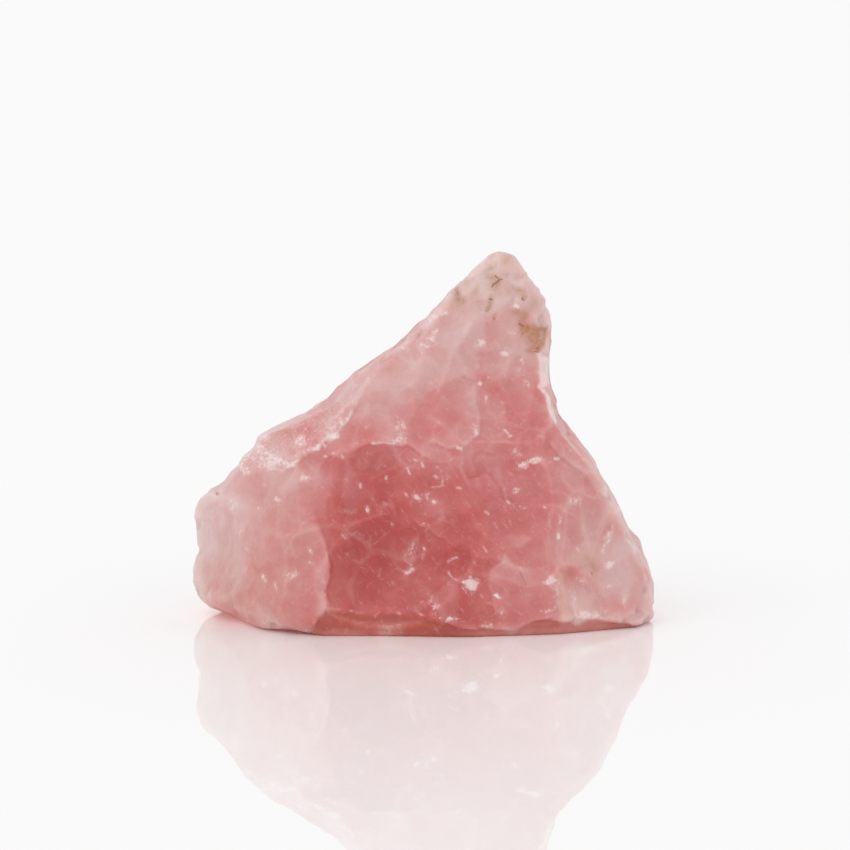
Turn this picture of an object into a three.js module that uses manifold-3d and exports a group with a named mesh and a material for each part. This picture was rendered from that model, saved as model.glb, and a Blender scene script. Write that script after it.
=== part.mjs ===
// A raw, broken chunk of rose quartz, 80 mm wide: one solid stone that stands on a flat break.
// Millimetres. +X runs along the length of the stone, +Y to its back and +Z up. The origin is
// on the ground, under the middle of the stone's box.
import * as THREE from 'three';
import { ConvexGeometry } from 'three/addons/geometries/ConvexGeometry.js';
import { mergeVertices } from 'three/addons/utils/BufferGeometryUtils.js';
import Module from 'manifold-3d';

// The girdle is the stone's widest section, as X and Z. It stands across Y at girdleY, and the
// stone draws in from there towards its front and its back.
const girdleY = 1;
const girdle = [
  [-34, -4], [-38.3, 1.6], [-40.2, 4.5], [-40.7, 7.2], [-40.3, 9], [-39.3, 11.3], [-39.5, 13.9],
  [-40.5, 17.2], [-39.2, 20], [-35, 23], [-31.3, 28], [-30, 29.7], [-29.4, 31.3],
  [-26.8, 32.6], [-21.4, 35], [-16.2, 38.3], [-13.7, 40.9], [-9.3, 44.4], [-4.2, 47.8],
  [1.2, 52.5], [5.2, 57], [9, 60.7], [11.3, 62.8], [13.2, 63.1], [15.2, 62], [18, 58.9],
  [20, 56.3], [20.8, 54.5], [21.3, 51], [21.4, 46.5], [21.6, 42], [22.3, 38.4], [23.3, 35.4],
  [25.8, 31.8], [28.5, 27.3], [31.2, 23.1], [33.5, 18.2], [37, 13], [37.9, 11.2], [39.2, 8.5],
  [39.7, 4.5], [40, 1], [39, -4],
];
const girdleDepth = 25; // from the girdle to where the drawn-in sections are given
const girdleSteps = 8; // bands that the drawn-in stone is made of
const drawIn = { front: 0.86, back: 0.5, pivotX: 5 };

// The flat breaks of the stone are the faces of the hull of these corners.
const corners = {
  underside: [
    [-27, -17, 0], [-19, -21.3, 0], [-5, -21.8, 0], [9, -22.4, 0], [22, -20, 0], [35.5, -14, 0],
    [38.5, -8, 0], [34, 6, 0], [22, 16, 0], [4, 19, 0], [-19, 18, 0], [-31, 10, 0], [-36, 1, 0],
  ],
  lowerEdge: [
    [-27.5, -19, 2.4], [-17, -22.6, 4.2], [-4, -22.6, 3.4], [6, -23, 1.4], [23, -20.5, 2.4],
    [37.5, -13.8, 1.5], [41.5, -6, 3], [37, 7, 5], [24, 19, 6], [4, 22, 5], [-21, 20.5, 7],
    [-34, 12, 6],
  ],
  leftLobe: [[-42, 2, 4], [-42, 1, 18], [-33.5, -9.5, 20.5], [-29, -16, 8]],
  ridge: [[-31.5, -9.5, 25], [-21.5, -14.5, 29], [-12, -11.5, 38.5], [-30.8, 1, 34]],
  brow: [[3, -16.5, 32], [18, -13, 37], [24, -9.5, 36], [31, -10.5, 26], [40, -9, 10]],
  peak: [[10.5, 2, 65], [16, 2.5, 65], [22, 1, 56], [12, 7, 62], [18, 6.5, 55]],
  back: [[-31, 8, 24], [-14, 14, 33], [6, 15, 35], [21, 11, 33], [33, 8, 16]],
};

// Shell-shaped hollows that struck flakes left: the point of the surface that the hollow is sunk
// into, the way out of the stone there, the hollow's three radii, the middle one along that way
// out and the last one upwards, and how deep it is.
const scars = {
  frontHollow: { at: [0, -20.6, 17], out: [0, -1, 0.25], radii: [48, 40, 44], depth: 2.4 },
  bowlLow: { at: [-4.5, -21.4, 12], out: [-0.05, -1, 0.2], radii: [23, 20, 19], depth: 3.8 },
  bowlLeft: { at: [-8.5, -18.8, 25], out: [-0.1, -1, 0.35], radii: [20, 18, 16], depth: 3.2 },
  bowlRight: { at: [14, -18.4, 23], out: [0.1, -1, 0.3], radii: [30, 30, 26], depth: 3 },
  face: { at: [13, -9.5, 42], out: [0.15, -1, 0.5], radii: [40, 44, 52], depth: 1.5 },
  rightFoot: { at: [31, -14, 12], out: [0.45, -1, 0.25], radii: [34, 34, 48], depth: 1.3 },
  rightFlank: { at: [24, 7, 36], out: [1, 0.6, 0.2], radii: [24, 28, 50], depth: 3 },
  rightBack: { at: [30, 13, 16], out: [0.7, 1, 0.4], radii: [40, 34, 40], depth: 3.4 },
  backMiddle: { at: [2, 19.5, 20], out: [0, 1, 0.3], radii: [52, 40, 44], depth: 3.8 },
  backLeft: { at: [-22, 15, 18], out: [-0.5, 1, 0.4], radii: [40, 30, 34], depth: 3.2 },
  backTop: { at: [10, 10, 46], out: [0.15, 1, 0.4], radii: [30, 28, 60], depth: 2.4 },
  slopeBack: { at: [-12, 8.5, 40], out: [-0.5, 0.8, 0.8], radii: [60, 32, 34], depth: 2.6 },
  lobeFront: { at: [-36, -5, 12], out: [-1, -0.7, 0.1], radii: [30, 26, 24], depth: 1.1 },
  lobeBack: { at: [-37, 8, 14], out: [-1, 0.9, 0.3], radii: [26, 26, 30], depth: 1.8 },
};
const scarDetail = 15; // how finely the ball that cuts a scar is divided

const wasm = await Module();
wasm.setup();

// A solid for cutting and joining, from any closed three.js geometry.
function solidFrom(geometry) {
  const shape = geometry.clone();
  for (const name of ['normal', 'uv']) shape.deleteAttribute(name);
  const welded = mergeVertices(shape, 1e-4);
  return new wasm.Manifold(new wasm.Mesh({
    numProp: 3,
    vertProperties: new Float32Array(welded.getAttribute('position').array),
    triVerts: new Uint32Array(welded.getIndex().array),
  }));
}

function geometryFrom(solid) {
  const mesh = solid.getMesh();
  const geometry = new THREE.BufferGeometry();
  geometry.setAttribute('position', new THREE.BufferAttribute(mesh.vertProperties, 3));
  geometry.setIndex(new THREE.BufferAttribute(mesh.triVerts, 1));
  return geometry;
}

// The block of flat breaks.
function brokenBlock() {
  const points = Object.values(corners).flat().map((corner) => new THREE.Vector3(...corner));
  return solidFrom(new ConvexGeometry(points));
}

// The girdle carried to the front and the back, drawn in on the way along half an ellipse.
function drawnInGirdle() {
  const section = new THREE.Shape(girdle.map(([x, z]) => new THREE.Vector2(x, z)));
  const extrusion = { depth: 2 * girdleDepth, steps: girdleSteps, bevelEnabled: false };
  const body = new THREE.ExtrudeGeometry(section, extrusion);
  body.rotateX(Math.PI / 2);
  body.translate(0, girdleY + girdleDepth, 0);
  const position = body.getAttribute('position');
  for (let i = 0; i < position.count; i += 1) {
    const away = (position.getY(i) - girdleY) / girdleDepth;
    const least = away < 0 ? drawIn.front : drawIn.back;
    const drawn = 1 - (1 - least) * away ** 2;
    position.setX(i, drawIn.pivotX + (position.getX(i) - drawIn.pivotX) * drawn);
    position.setZ(i, position.getZ(i) * drawn);
  }
  return solidFrom(body);
}

// A ball of the hollow's radii, turned to the way out and placed to sink to the hollow's depth.
function scarBall({ at, out, radii, depth }) {
  const ball = new THREE.IcosahedronGeometry(1, scarDetail);
  const wayOut = new THREE.Vector3(...out).normalize();
  const middle = new THREE.Vector3(...at).addScaledVector(wayOut, radii[1] - depth);
  const turn = new THREE.Quaternion().setFromUnitVectors(new THREE.Vector3(0, 1, 0), wayOut);
  ball.applyMatrix4(new THREE.Matrix4().compose(middle, turn, new THREE.Vector3(...radii)));
  return solidFrom(ball);
}

function stoneSolid() {
  let stone = brokenBlock().intersect(drawnInGirdle());
  for (const hollow of Object.values(scars)) stone = stone.subtract(scarBall(hollow));
  return stone;
}

// Moves the stone so that the origin is under the middle of its box.
function centreOnGround(geometry) {
  geometry.computeBoundingBox();
  const middle = geometry.boundingBox.getCenter(new THREE.Vector3());
  geometry.translate(-middle.x, -middle.y, -geometry.boundingBox.min.z);
}

function roseQuartzChunk() {
  const geometry = geometryFrom(stoneSolid());
  centreOnGround(geometry);
  const material = new THREE.MeshStandardMaterial({ color: 0xd08a88, roughness: 0.45, metalness: 0 });
  const mesh = new THREE.Mesh(geometry, material);
  mesh.name = 'rose_quartz_chunk';
  return mesh;
}

const stone = new THREE.Group();
stone.add(roseQuartzChunk());

export default stone;
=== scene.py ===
import math

import bpy
import numpy as np
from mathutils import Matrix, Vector


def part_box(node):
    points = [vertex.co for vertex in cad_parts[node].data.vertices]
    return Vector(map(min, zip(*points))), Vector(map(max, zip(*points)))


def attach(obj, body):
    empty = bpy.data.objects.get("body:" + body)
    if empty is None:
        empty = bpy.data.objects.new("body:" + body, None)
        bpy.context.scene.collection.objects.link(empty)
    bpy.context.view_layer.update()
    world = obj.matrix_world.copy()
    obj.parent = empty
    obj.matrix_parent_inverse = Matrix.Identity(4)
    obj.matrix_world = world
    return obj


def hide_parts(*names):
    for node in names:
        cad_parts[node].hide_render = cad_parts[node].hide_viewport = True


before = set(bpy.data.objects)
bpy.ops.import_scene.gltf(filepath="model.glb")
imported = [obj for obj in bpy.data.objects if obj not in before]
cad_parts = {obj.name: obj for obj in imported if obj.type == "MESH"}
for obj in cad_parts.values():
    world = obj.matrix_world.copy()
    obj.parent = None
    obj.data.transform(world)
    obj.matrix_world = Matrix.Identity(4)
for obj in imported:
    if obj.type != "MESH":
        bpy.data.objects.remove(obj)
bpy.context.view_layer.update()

# everything below is worked out in millimetres in the stone's own frame, and meshes are in metres
mm = 0.001
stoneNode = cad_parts["rose_quartz_chunk"]
stoneLow, stoneHigh = (np.array(corner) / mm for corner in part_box("rose_quartz_chunk"))
print("frame loaded, the stone is", np.round(stoneHigh - stoneLow, 1), "mm")


# A value in 0..1 for each whole-number corner: its three numbers times three primes, added and
# scrambled bit by bit.
def latticeValue(corner, seed):
    mixed = (corner.astype(np.int64) * np.array([73856093, 19349663, 83492791])).sum(-1)
    mixed = (mixed ^ (seed * 2654435761)) & 0xFFFFFFFF
    mixed = ((mixed ^ (mixed >> 15)) * 2246822519) & 0xFFFFFFFF
    mixed = ((mixed ^ (mixed >> 13)) * 3266489917) & 0xFFFFFFFF
    return ((mixed ^ (mixed >> 16)) & 0xFFFFFF) / float(0xFFFFFF)


# Gradient noise, about -1..1: at each of the 8 corners round a point, a random direction dotted
# with the way from the corner, blended by the fade curve 6t^5 - 15t^4 + 10t^3. Each seed gives
# another such noise.
def noiseAt(points, size, seed):
    scaled = points / size
    base = np.floor(scaled)
    part = scaled - base
    fade = part ** 3 * (part * (part * 6 - 15) + 10)
    total = np.zeros(len(points))
    for corner in np.ndindex(2, 2, 2):
        at = base + np.array(corner)
        away = part - np.array(corner)
        angle = latticeValue(at, seed) * 2 * math.pi
        height = latticeValue(at, seed + 101) * 2 - 1
        flat = np.sqrt(1 - height ** 2)
        sideways = away[:, 0] * np.cos(angle) + away[:, 1] * np.sin(angle)
        weight = np.prod(np.where(np.array(corner), fade, 1 - fade), axis=1)
        total += (sideways * flat + away[:, 2] * height) * weight
    return total * 1.6


# Octaves of the gradient noise, each half the size and a share of the strength of the one before.
def fractalAt(points, size, seed, octaves=3, share=0.5):
    total = np.zeros(len(points))
    for octave in range(octaves):
        total += noiseAt(points, size / 2 ** octave, seed + 17 * octave) * share ** octave
    return total


# Cells round jittered lattice points: how far the nearest point is, how much further the second
# nearest is, both as a share of the cell size, and a random value 0..1 of the cell.
def cellsAt(points, size, seed):
    scaled = points / size
    base = np.floor(scaled)
    nearest = np.full(len(points), 9.0)
    second = nearest.copy()
    value = np.zeros(len(points))
    for step in np.ndindex(3, 3, 3):
        at = base + np.array(step) - 1
        middle = at + np.stack([latticeValue(at, seed + k) for k in range(3)], axis=1)
        distance = np.linalg.norm(scaled - middle, axis=1)
        second = np.minimum(second, np.maximum(nearest, distance))
        value = np.where(distance < nearest, latticeValue(at, seed + 3), value)
        nearest = np.minimum(nearest, distance)
    return nearest, second - nearest, value


# Points pushed about by noise, so that what is worked out from them winds as well.
def swayed(points, amount, size, seed):
    return points + amount * np.stack([noiseAt(points, size, seed + k) for k in range(3)], axis=1)


# 0 below low, 1 above high, and the curve 3t^2 - 2t^3 between.
def smoothStep(low, high, value):
    t = np.clip((value - low) / (high - low), 0, 1)
    return t * t * (3 - 2 * t)


# The six sides of a box divided into cells and blown up to a ball: a point of a side goes to
# (1, tan a, tan b) made one long, and the seams between the sides are welded.
def ballGrid(cells):
    turn = np.tan(np.linspace(-math.pi / 4, math.pi / 4, cells + 1))
    a, b = np.meshgrid(turn, turn, indexing="ij")
    corner = np.arange((cells + 1) ** 2).reshape(cells + 1, cells + 1)
    ring = np.stack([corner[:-1, :-1], corner[1:, :-1], corner[1:, 1:], corner[:-1, 1:]], -1)
    points, quads = [], []
    for axis in range(3):
        for side in (1, -1):
            face = np.empty((cells + 1, cells + 1, 3))
            face[..., axis] = side
            face[..., (axis + 1) % 3] = a
            face[..., (axis + 2) % 3] = b
            quads.append(ring.reshape(-1, 4)[:, ::side] + len(points) * corner.size)
            points.append(face.reshape(-1, 3))
    points = np.concatenate(points)
    points /= np.linalg.norm(points, axis=1)[:, None]
    welded = np.unique(np.round(points, 6), axis=0, return_index=True, return_inverse=True)
    return points[welded[1]], welded[2].reshape(-1)[np.concatenate(quads)]


# A mesh object from points in millimetres and quads.
def meshObject(name, points, quads):
    mesh = bpy.data.meshes.new(name)
    mesh.from_pydata((points * mm).tolist(), [], quads.tolist())
    made = bpy.data.objects.new(name, mesh)
    bpy.context.scene.collection.objects.link(made)
    return made


# Moves each point towards the mean of its neighbours by a share of the way, a number of times.
# Where normals are given, only the part of the move that lies along the surface is made.
def relaxed(points, edges, times, share=0.5, normals=None):
    ends = np.concatenate([edges, edges[:, ::-1]])
    count = np.bincount(ends[:, 0], minlength=len(points))
    for _ in range(times):
        sums = [np.bincount(ends[:, 0], points[ends[:, 1], k], len(points)) for k in range(3)]
        move = np.stack(sums, axis=1) / count[:, None] - points
        if normals is not None:
            move -= normals * (move * normals).sum(1)[:, None]
        points = points + move * share
    return points


# The normal at each point: the cross products of its quads' diagonals added up and made one long.
def normalsOf(points, quads):
    across = points[quads]
    facing = np.cross(across[:, 2] - across[:, 0], across[:, 3] - across[:, 1])
    sums = [np.bincount(quads.ravel(), np.repeat(facing[:, k], 4), len(points)) for k in range(3)]
    normals = np.stack(sums, axis=1)
    return normals / np.linalg.norm(normals, axis=1)[:, None]


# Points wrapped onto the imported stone, along their normals or to the nearest place on it.
def wrappedOnStone(shell, points, method):
    shell.data.vertices.foreach_set("co", (points * mm).astype(np.float32).ravel())
    shell.data.update()
    wrap = shell.modifiers.new("wrap", "SHRINKWRAP")
    wrap.target = stoneNode
    wrap.wrap_method = method
    wrap.use_positive_direction = True
    wrap.use_negative_direction = False
    found = np.empty(len(points) * 3, np.float32)
    seen = shell.evaluated_get(bpy.context.evaluated_depsgraph_get())
    seen.data.vertices.foreach_get("co", found)
    shell.modifiers.remove(wrap)
    return found.reshape(-1, 3) / mm


shellForm = {
    "cells": 128,  # along each side of the grid, so 2 x 6 x 128 x 128 triangles
    "coreMiddle": (3, -0.5, 19),  # the ball that the grid is blown out from, well inside the stone
    "coreRadii": (24, 9, 12),
    "evenings": 8,  # rounds of evening out the grid on the stone
    "eveningTimes": 8,
    "softening": 2,  # last smoothing, which takes the hard edge off the flat breaks
}


# The stone's shell: the ball grid scaled to the core, blown out onto the stone along the core's
# normals, and evened out on it.
def stoneShell(form):
    directions, quads = ballGrid(form["cells"])
    sides = np.sort(np.concatenate([quads[:, [k, (k + 1) % 4]] for k in range(4)]), axis=1)
    edges = np.unique(sides, axis=0)
    points = np.array(form["coreMiddle"]) + directions * np.array(form["coreRadii"])
    shell = meshObject("rose_quartz_surface", points, quads)
    points = wrappedOnStone(shell, points, "PROJECT")
    for _ in range(form["evenings"]):
        points = relaxed(points, edges, form["eveningTimes"], normals=normalsOf(points, quads))
        points = wrappedOnStone(shell, points, "NEAREST_SURFACEPOINT")
    return shell, relaxed(points, edges, form["softening"]), quads, edges


shell, shellPoints, shellQuads, shellEdges = stoneShell(shellForm)
print("shell wrapped,", len(shellPoints), "points")


# The breaks that show on the front, as lines through X and Z points. The side to the left of a line
# stands out by the step, is deeper (above 0) or paler in its rose, and both run out over the fade.
frontBreaks = {
    "plate": {"line": [(-19.5, 0), (-16.8, 2.8), (-15.4, 5.4), (-16.1, 7.6), (-15.3, 8.8), (-15.3, 12),
                       (-15.9, 15), (-17, 17.6)], "step": 0.6, "rose": 0, "fade": 9},
    "plateTop": {"line": [(-16.4, 19.3), (-18.6, 19.1), (-20.9, 17), (-22.5, 13.5)],
                 "step": 0.2, "rose": 0.08, "fade": 4},
    "shoulder": {"line": [(-20, 28.6), (-17.7, 30), (-15.5, 32.2), (-13, 34.3), (-11, 37.5)],
                 "step": 0.35, "rose": -0.12, "fade": 4},
    "arc": {"line": [(-14, 29), (-10.4, 30.7), (-6.6, 31.4), (-2.5, 30.8), (0, 29.4)],
            "step": 0.3, "rose": -0.12, "fade": 3.5},
    "bump": {"line": [(1.5, 31.6), (4.5, 30.5), (7.4, 31), (9.2, 33), (9.5, 36), (9, 39)],
             "step": 0.28, "rose": -0.12, "fade": 5},
    "fold": {"line": [(11, 52), (10, 47.5), (9.1, 43), (9.5, 38.5)], "step": 0.12, "rose": 0.1, "fade": 6},
    "deepTop": {"line": [(18.5, 43), (16.7, 45.2), (12.7, 46.1), (9.4, 46)],
                "step": -0.15, "rose": 0.08, "fade": 7},
    "shelf": {"line": [(23.5, 28.4), (19.8, 28.1), (16.8, 27.9), (14, 29.2)],
              "step": 0.3, "rose": 0.05, "fade": 5},
    "curve": {"line": [(14.2, 21.3), (12.6, 22.5), (12, 24.4), (10.7, 25.9), (8.8, 25.6)],
              "step": 0.25, "rose": -0.1, "fade": 4},
    "slant": {"line": [(-1, 18), (4.4, 15), (8, 13), (13, 12)], "step": 0.2, "rose": -0.07, "fade": 6},
    "block": {"line": [(13.2, 13), (11, 10.2), (10.8, 8), (11.6, 4.5)],
              "step": 0.2, "rose": -0.16, "fade": 8},
    "strip": {"line": [(20.4, 9.6), (22, 7), (22.4, 3)], "step": 0.25, "rose": -0.1, "fade": 5},
    "flank": {"line": [(21.5, 31), (23, 29.2), (26.1, 26.2), (30, 22.3)],
              "step": 0.3, "rose": -0.16, "fade": 4},
}
breakEdge = {
    "soft": 0.22,  # half the width of the step itself
    "pastEnds": 1.2,  # how far it runs on past the line's ends
    "sway": 0.45, "swaySize": 2.0,  # how unevenly it follows the line
}
relief = {
    "wave": 0.42, "waveSize": 14,  # slow waves of the breaks, in mm
    "scoop": 0.6, "scoopSize": 10,  # shallow hollows that meet in ridges
    "flake": 0.22, "flakeSize": 3.6,  # the same, small
    "hollow": 2.2,  # how fast a hollow deepens towards its middle
    "scoopLevel": 0.1, "boldLevel": 0.5, "flakeLevel": 0.6,  # taken off, to keep the mean height
    "behind": 2.6,  # how much bolder the big ones are behind
    "wideSize": 15, "wideStretch": (0.75, 1.1, 1),  # and how wide and long
    "rising": (0.79, 0.61), "falling": (0.6, -0.8),  # ways that facets and ribs run in X and Z
    "sway": 2.5, "straightSway": 1.2, "swaySize": 9,  # how the hollows and steps wind
    "jag": 0.35, "jagSize": 1.6,  # and how jagged a step's line is
    "step": 0.5, "stepSize": 21,  # where one smooth break cuts off another
    "stepFront": 0.15,  # share of it on the front, which has its own breaks
    "stepLevels": (-0.34, 0.02, 0.36), "stepRun": 0.3, "stepMean": 0.35,
    "rib": 0.14, "ribSize": 1.1, "ribStretch": (0.3, 1, 1),  # fibrous ribs
    "ribPlain": 0.25,  # share of them where the break isn't fibrous
    "grain": 0.045, "grainSize": 1.3,
    "bite": 0.7, "biteSize": 3.2,  # bites out of sharp edges
    "calmRounds": 12, "bendRounds": 30,  # smoothing that the normals and the edges are found by
    "bendFrom": 0.06, "bendTo": 0.3,  # how far an edge stands out of the smoothed stone
    # the lip over the hollow foot: its Z along X, its waves, and how far and how flat the foot is set back
    "lipX": (-19, -16, -13, -9, -4, 0, 3, 8, 11.5, 14.7, 18, 21, 22.5, 25, 28, 31, 36),
    "lipZ": (0.3, 4.4, 4.2, 3.3, 3.5, 3.1, 2.4, 1.3, 1.2, 0.8, 2.4, 2.9, 2.3, 1.6, 2.3, 1.6, 0.3),
    "lipWave": 0.3, "lipWaveSize": 2,
    "lipDepth": 0.6, "footFlat": 0.85,
    # where the shell is brought out or in: middle X and Z, half width and height, and how much
    "trims": [(12.3, 64, 2.5, 2.5, 0.9), (16.7, 62.2, 2.4, 2.6, 0.7), (14, 63, 2.5, 2.6, 0.75),
              (38, 13.3, 1.5, 1.3, 0.5), (-38, 14, 6, 9, 0.8), (-36, 3, 3.5, 4, 1.2),
              (-31, 1.5, 2.5, 2.5, -0.5), (23, 39, 3, 9, -0.6), (21, 48, 2, 5, -0.4),
              (26, 32, 2.5, 3, -0.4), (29, 27.5, 3, 3.5, 0.6), (33.5, 19, 3, 4, 0.5),
              (37, 7, 4, 4, -0.4)],
}
# The lower edge of the fibrous shoulder, as X and Z points, and how far up the fibres run out.
fibrousEdge = {"line": [(-31, 25.3), (-27, 26.4), (-23.5, 26.8), (-21, 28), (-17.7, 30), (-15.5, 32.2),
                        (-13, 34.3), (-11, 37.5)], "fade": 14}
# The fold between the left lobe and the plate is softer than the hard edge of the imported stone.
softFold = {"line": [(-32, 22), (-29.8, 16.4), (-28, 11.7), (-25.6, 7.2), (-22, 1)],
            "reach": 4, "rounds": 60}


# The sum of soft ovals: each adds its strength times e to the minus squared distance in radii.
def blots(x, z, ovals):
    total = np.zeros(len(x))
    for cx, cz, wide, tall, much in ovals:
        total += much * np.exp(-((x - cx) / wide) ** 2 - ((z - cz) / tall) ** 2)
    return total


# How far points lie to the left of a line in X and Z (below 0 to its right), and how far they are
# past its ends.
def besideLine(x, z, line):
    nearest = np.full(len(x), 1e6)
    beside = np.zeros(len(x))
    for (ax, az), (bx, bz) in zip(line[:-1], line[1:]):
        long = math.hypot(bx - ax, bz - az)
        along = ((x - ax) * (bx - ax) + (z - az) * (bz - az)) / long ** 2
        across = ((bx - ax) * (z - az) - (bz - az) * (x - ax)) / long
        past = (along - np.clip(along, 0, 1)) * long
        distance = np.hypot(past, across)
        beside = np.where(distance < nearest, np.copysign(distance, across), beside)
        nearest = np.minimum(nearest, distance)
    (ax, az), (bx, bz) = line[0], line[-1]
    start = ((line[1][0] - ax) * (x - ax) + (line[1][1] - az) * (z - az)) / math.dist(line[0], line[1])
    end = ((bx - line[-2][0]) * (x - bx) + (bz - line[-2][1]) * (z - bz)) / math.dist(line[-2], line[-1])
    return beside, np.maximum(-start, end).clip(0)


# One side of a break: 1 just to the left of the line, running out to 0 as e to the minus distance
# over the fade, and fading past the line's ends.
def breakSide(x, z, form):
    beside, past = besideLine(x, z, form["line"])
    onSide = smoothStep(-breakEdge["soft"], breakEdge["soft"], beside)
    return onSide * np.exp(-beside.clip(0) / form["fade"] - past / breakEdge["pastEnds"])


# How much a point faces the front: 0 to 1 as its normal's -Y goes from 0.05 to 0.35.
def frontAt(normals):
    return smoothStep(0.05, 0.35, -normals[:, 1])


# How much a point faces away from the front: 0 to 1 as its normal's Y goes from -0.1 to 0.4.
def behindAt(normals):
    return smoothStep(-0.1, 0.4, normals[:, 1])


# The front's breaks added up by one of their values, on the points that face the front.
def frontSum(points, normals, value):
    bent = swayed(points, breakEdge["sway"], breakEdge["swaySize"], 700)
    total = sum(form[value] * breakSide(bent[:, 0], bent[:, 2], form) for form in frontBreaks.values())
    return total * frontAt(normals)


# Breaks all over the stone: where slow noise crosses a level the surface steps up, and runs back
# down beyond. Gives the step from 0 to 1, and how near a point is to the line of a step.
def breaksAt(points, form):
    bent = swayed(swayed(points, form["sway"], form["swaySize"], 500), form["jag"], form["jagSize"], 520)
    slow = noiseAt(bent, form["stepSize"], 23)
    run = np.zeros(len(points))
    line = np.zeros(len(points))
    for level in form["stepLevels"]:
        past = slow - level
        run += smoothStep(-0.02, 0.02, past) * np.exp(-past.clip(0) / form["stepRun"])
        line = np.maximum(line, np.exp(-(past / 0.025) ** 2))
    shown = smoothStep(-0.2, 0.35, noiseAt(points, 15, 31))
    return run * shown, line * shown


# Points measured along a way in X and Z, and across it.
def alongWay(points, way):
    return points @ np.array([[way[0], 0, -way[1]], [0, 1, 0], [way[1], 0, way[0]]])


# The cells of the big hollows, which are wider and straighter behind, and of the small ones.
def facetsAt(points, normals, form):
    behind = behindAt(normals)
    bent = swayed(points, form["sway"], form["swaySize"], 500)
    straight = alongWay(swayed(points, form["straightSway"], form["swaySize"], 500), form["rising"])
    wide = cellsAt(straight * form["wideStretch"], form["wideSize"], 71)
    scoops = [(1 - behind) * a + behind * b for a, b in zip(cellsAt(bent, form["scoopSize"], 47), wide)]
    return scoops, cellsAt(bent, form["flakeSize"], 53)


# Where the break is rough and fibrous: the slanting shoulder of the front, and patches elsewhere.
def fibrousAt(points, normals):
    front = frontAt(normals)
    shoulder = breakSide(points[:, 0], points[:, 2], fibrousEdge)
    patches = smoothStep(0.25, 0.6, noiseAt(points, 17, 103))
    return shoulder * front + 0.8 * patches * (1 - front)


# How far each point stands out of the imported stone: slow waves, hollows that meet in ridges, steps,
# ribs, grain, bites out of sharp edges, the front's own breaks, the lip over the foot and the trims,
# added up, and nothing on the underside.
def reliefAt(points, normals, edgeness, form):
    x, z = points[:, 0], points[:, 2]
    bold = 1 + (form["behind"] - 1) * behindAt(normals)
    height = form["wave"] / bold * fractalAt(points, form["waveSize"], 11, 2)
    scoops, flakes = facetsAt(points, normals, form)
    shown = 0.3 + 0.7 * smoothStep(-0.5, 0.4, noiseAt(points, 19, 37))
    level = form["scoopLevel"] + form["boldLevel"] * bold
    height += form["scoop"] * bold * shown * (form["hollow"] * scoops[0] ** 2 - level)
    height += form["flake"] * (form["hollow"] * flakes[0] ** 2 - form["flakeLevel"])
    stepShare = 1 - (1 - form["stepFront"]) * frontAt(normals)
    height += form["step"] * (breaksAt(points, form)[0] - form["stepMean"]) * stepShare
    ribs = noiseAt(alongWay(points, form["falling"]) * form["ribStretch"], form["ribSize"], 61)
    ribShare = form["ribPlain"] + (1 - form["ribPlain"]) * fibrousAt(points, normals)
    height += form["rib"] * ribs * ribShare
    height += form["grain"] * fractalAt(points, form["grainSize"], 59, 2)
    height -= form["bite"] * edgeness * smoothStep(0.05, 0.7, fractalAt(points, form["biteSize"], 67, 2))
    height += frontSum(points, normals, "step")
    lip = np.interp(x, form["lipX"], form["lipZ"])
    above = z - lip + form["lipWave"] * noiseAt(points, form["lipWaveSize"], 73)
    foot = (1 - smoothStep(-0.35, 0.3, above)) * smoothStep(-0.1, 0.2, -normals[:, 1])
    height = height * (1 - form["footFlat"] * foot) - form["lipDepth"] * foot
    height += blots(x, z, form["trims"])
    return height * smoothStep(-0.95, -0.6, normals[:, 2])


# The finished surface: the shell moved along its smoothed normals by the relief, and never under
# the ground.
def raisedShell(points, quads, edges, form):
    beside = besideLine(points[:, 0], points[:, 2], softFold["line"])[0]
    near = np.exp(-(beside / softFold["reach"]) ** 2) * (points[:, 1] < 0)
    points = points + (relaxed(points, edges, softFold["rounds"]) - points) * near[:, None]
    calm = relaxed(points, edges, form["calmRounds"])
    normals = normalsOf(calm, quads)
    bend = ((points - relaxed(points, edges, form["bendRounds"])) * normals).sum(1)
    edgeness = smoothStep(form["bendFrom"], form["bendTo"], bend)
    raised = points + normals * reliefAt(points, normals, edgeness, form)[:, None]
    raised[:, 2] = np.maximum(raised[:, 2], 0)
    return raised, normals, edgeness


stonePoints, stoneNormals, stoneEdgeness = raisedShell(shellPoints, shellQuads, shellEdges, relief)
shell.data.vertices.foreach_set("co", (stonePoints * mm).astype(np.float32).ravel())
shell.data.polygons.foreach_set("use_smooth", np.ones(len(shellQuads), bool))
shell.data.update()
print("relief raised")


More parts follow.
